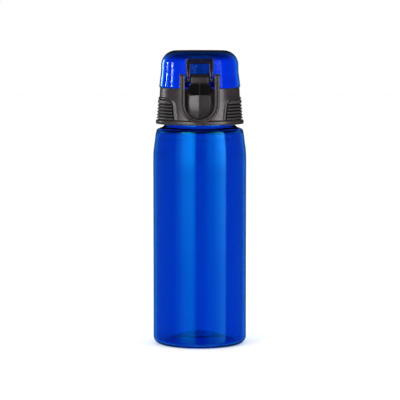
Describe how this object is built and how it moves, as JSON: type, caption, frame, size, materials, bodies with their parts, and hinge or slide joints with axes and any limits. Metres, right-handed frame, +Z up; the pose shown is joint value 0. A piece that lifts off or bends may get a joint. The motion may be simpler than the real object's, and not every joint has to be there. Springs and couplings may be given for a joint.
{
  "type": "flip-lid sports bottle",
  "caption": "Straight translucent drinking bottle with a ribbed screw collar, a sprung flip lid, a push-button latch in a U-shaped bezel, and a swinging lock bail.",
  "frame": {"origin": "centre of the ring the bottle stands on, on the surface it stands on", "axes": "+Z up along the bottle's axis; the front, with the button and the lock bail, faces -Y; the lid's hinge is at +Y"},
  "size_m": [0.073, 0.0733, 0.2302],
  "materials": {
    "blue_body": "clear blue tinted plastic, polished",
    "blue_lid": "clear blue tinted plastic, polished",
    "collar_plastic": "satin charcoal plastic",
    "inner_plastic": "fine matt charcoal plastic",
    "carrier_plastic": "smooth black plastic",
    "grip_rubber": "soft touch ribbed rubber",
    "button_plastic": "satin charcoal plastic",
    "bail_plastic": "gloss black plastic",
    "silicone": "milky translucent silicone",
    "steel": "drawn stainless steel wire"
  },
  "bodies": {
    "bottle": {"bottle_body": "blue_body"},
    "neck_seal": {"neck_gasket": "silicone"},
    "cap": {"inner_cap": "inner_plastic", "collar": "collar_plastic", "grip_pad_left": "grip_rubber", "grip_pad_right": "grip_rubber", "drink_spout": "inner_plastic", "vent_valve": "silicone", "hinge_pin": "steel", "lid_spring": "steel", "button_pin": "steel", "button_spring": "steel", "bail_pin_left": "steel", "bail_pin_right": "steel"},
    "lid": {"lid_dome": "blue_lid", "seal_carrier": "carrier_plastic", "spout_seal": "silicone"},
    "button": {"release_button": "button_plastic"},
    "bail": {"lock_bail": "bail_plastic"}
  },
  "joints": [
    {"name": "cap_rise", "type": "slide", "parent": "bottle", "child": "neck_seal", "axis": [0, 0, 1], "range_m": [0, 0.0051]},
    {"name": "cap_turn", "type": "hinge", "parent": "neck_seal", "child": "cap", "pos_m": [0, 0, 0.19], "axis": [0, 0, 1], "range_deg": [0, 450]},
    {"name": "lid_open", "type": "hinge", "parent": "cap", "child": "lid", "pos_m": [0, 0.0335, 0.202], "axis": [-1, 0, 0], "range_deg": [0, 125], "deforming": ["lid_spring"]},
    {"name": "button_press", "type": "hinge", "parent": "cap", "child": "button", "pos_m": [0, -0.0334, 0.1995], "axis": [1, 0, 0], "range_deg": [0, 7], "stiffness_Nm_per_rad": 0.15, "deforming": ["button_spring"]},
    {"name": "bail_swing", "type": "hinge", "parent": "cap", "child": "bail", "pos_m": [0, -0.0338, 0.208], "axis": [1, 0, 0], "range_deg": [0, 140]}
  ],
  "couplings": [
    {"joint": "cap_rise", "follows": "cap_turn", "m_per_rad": 0.00063662}
  ]
}
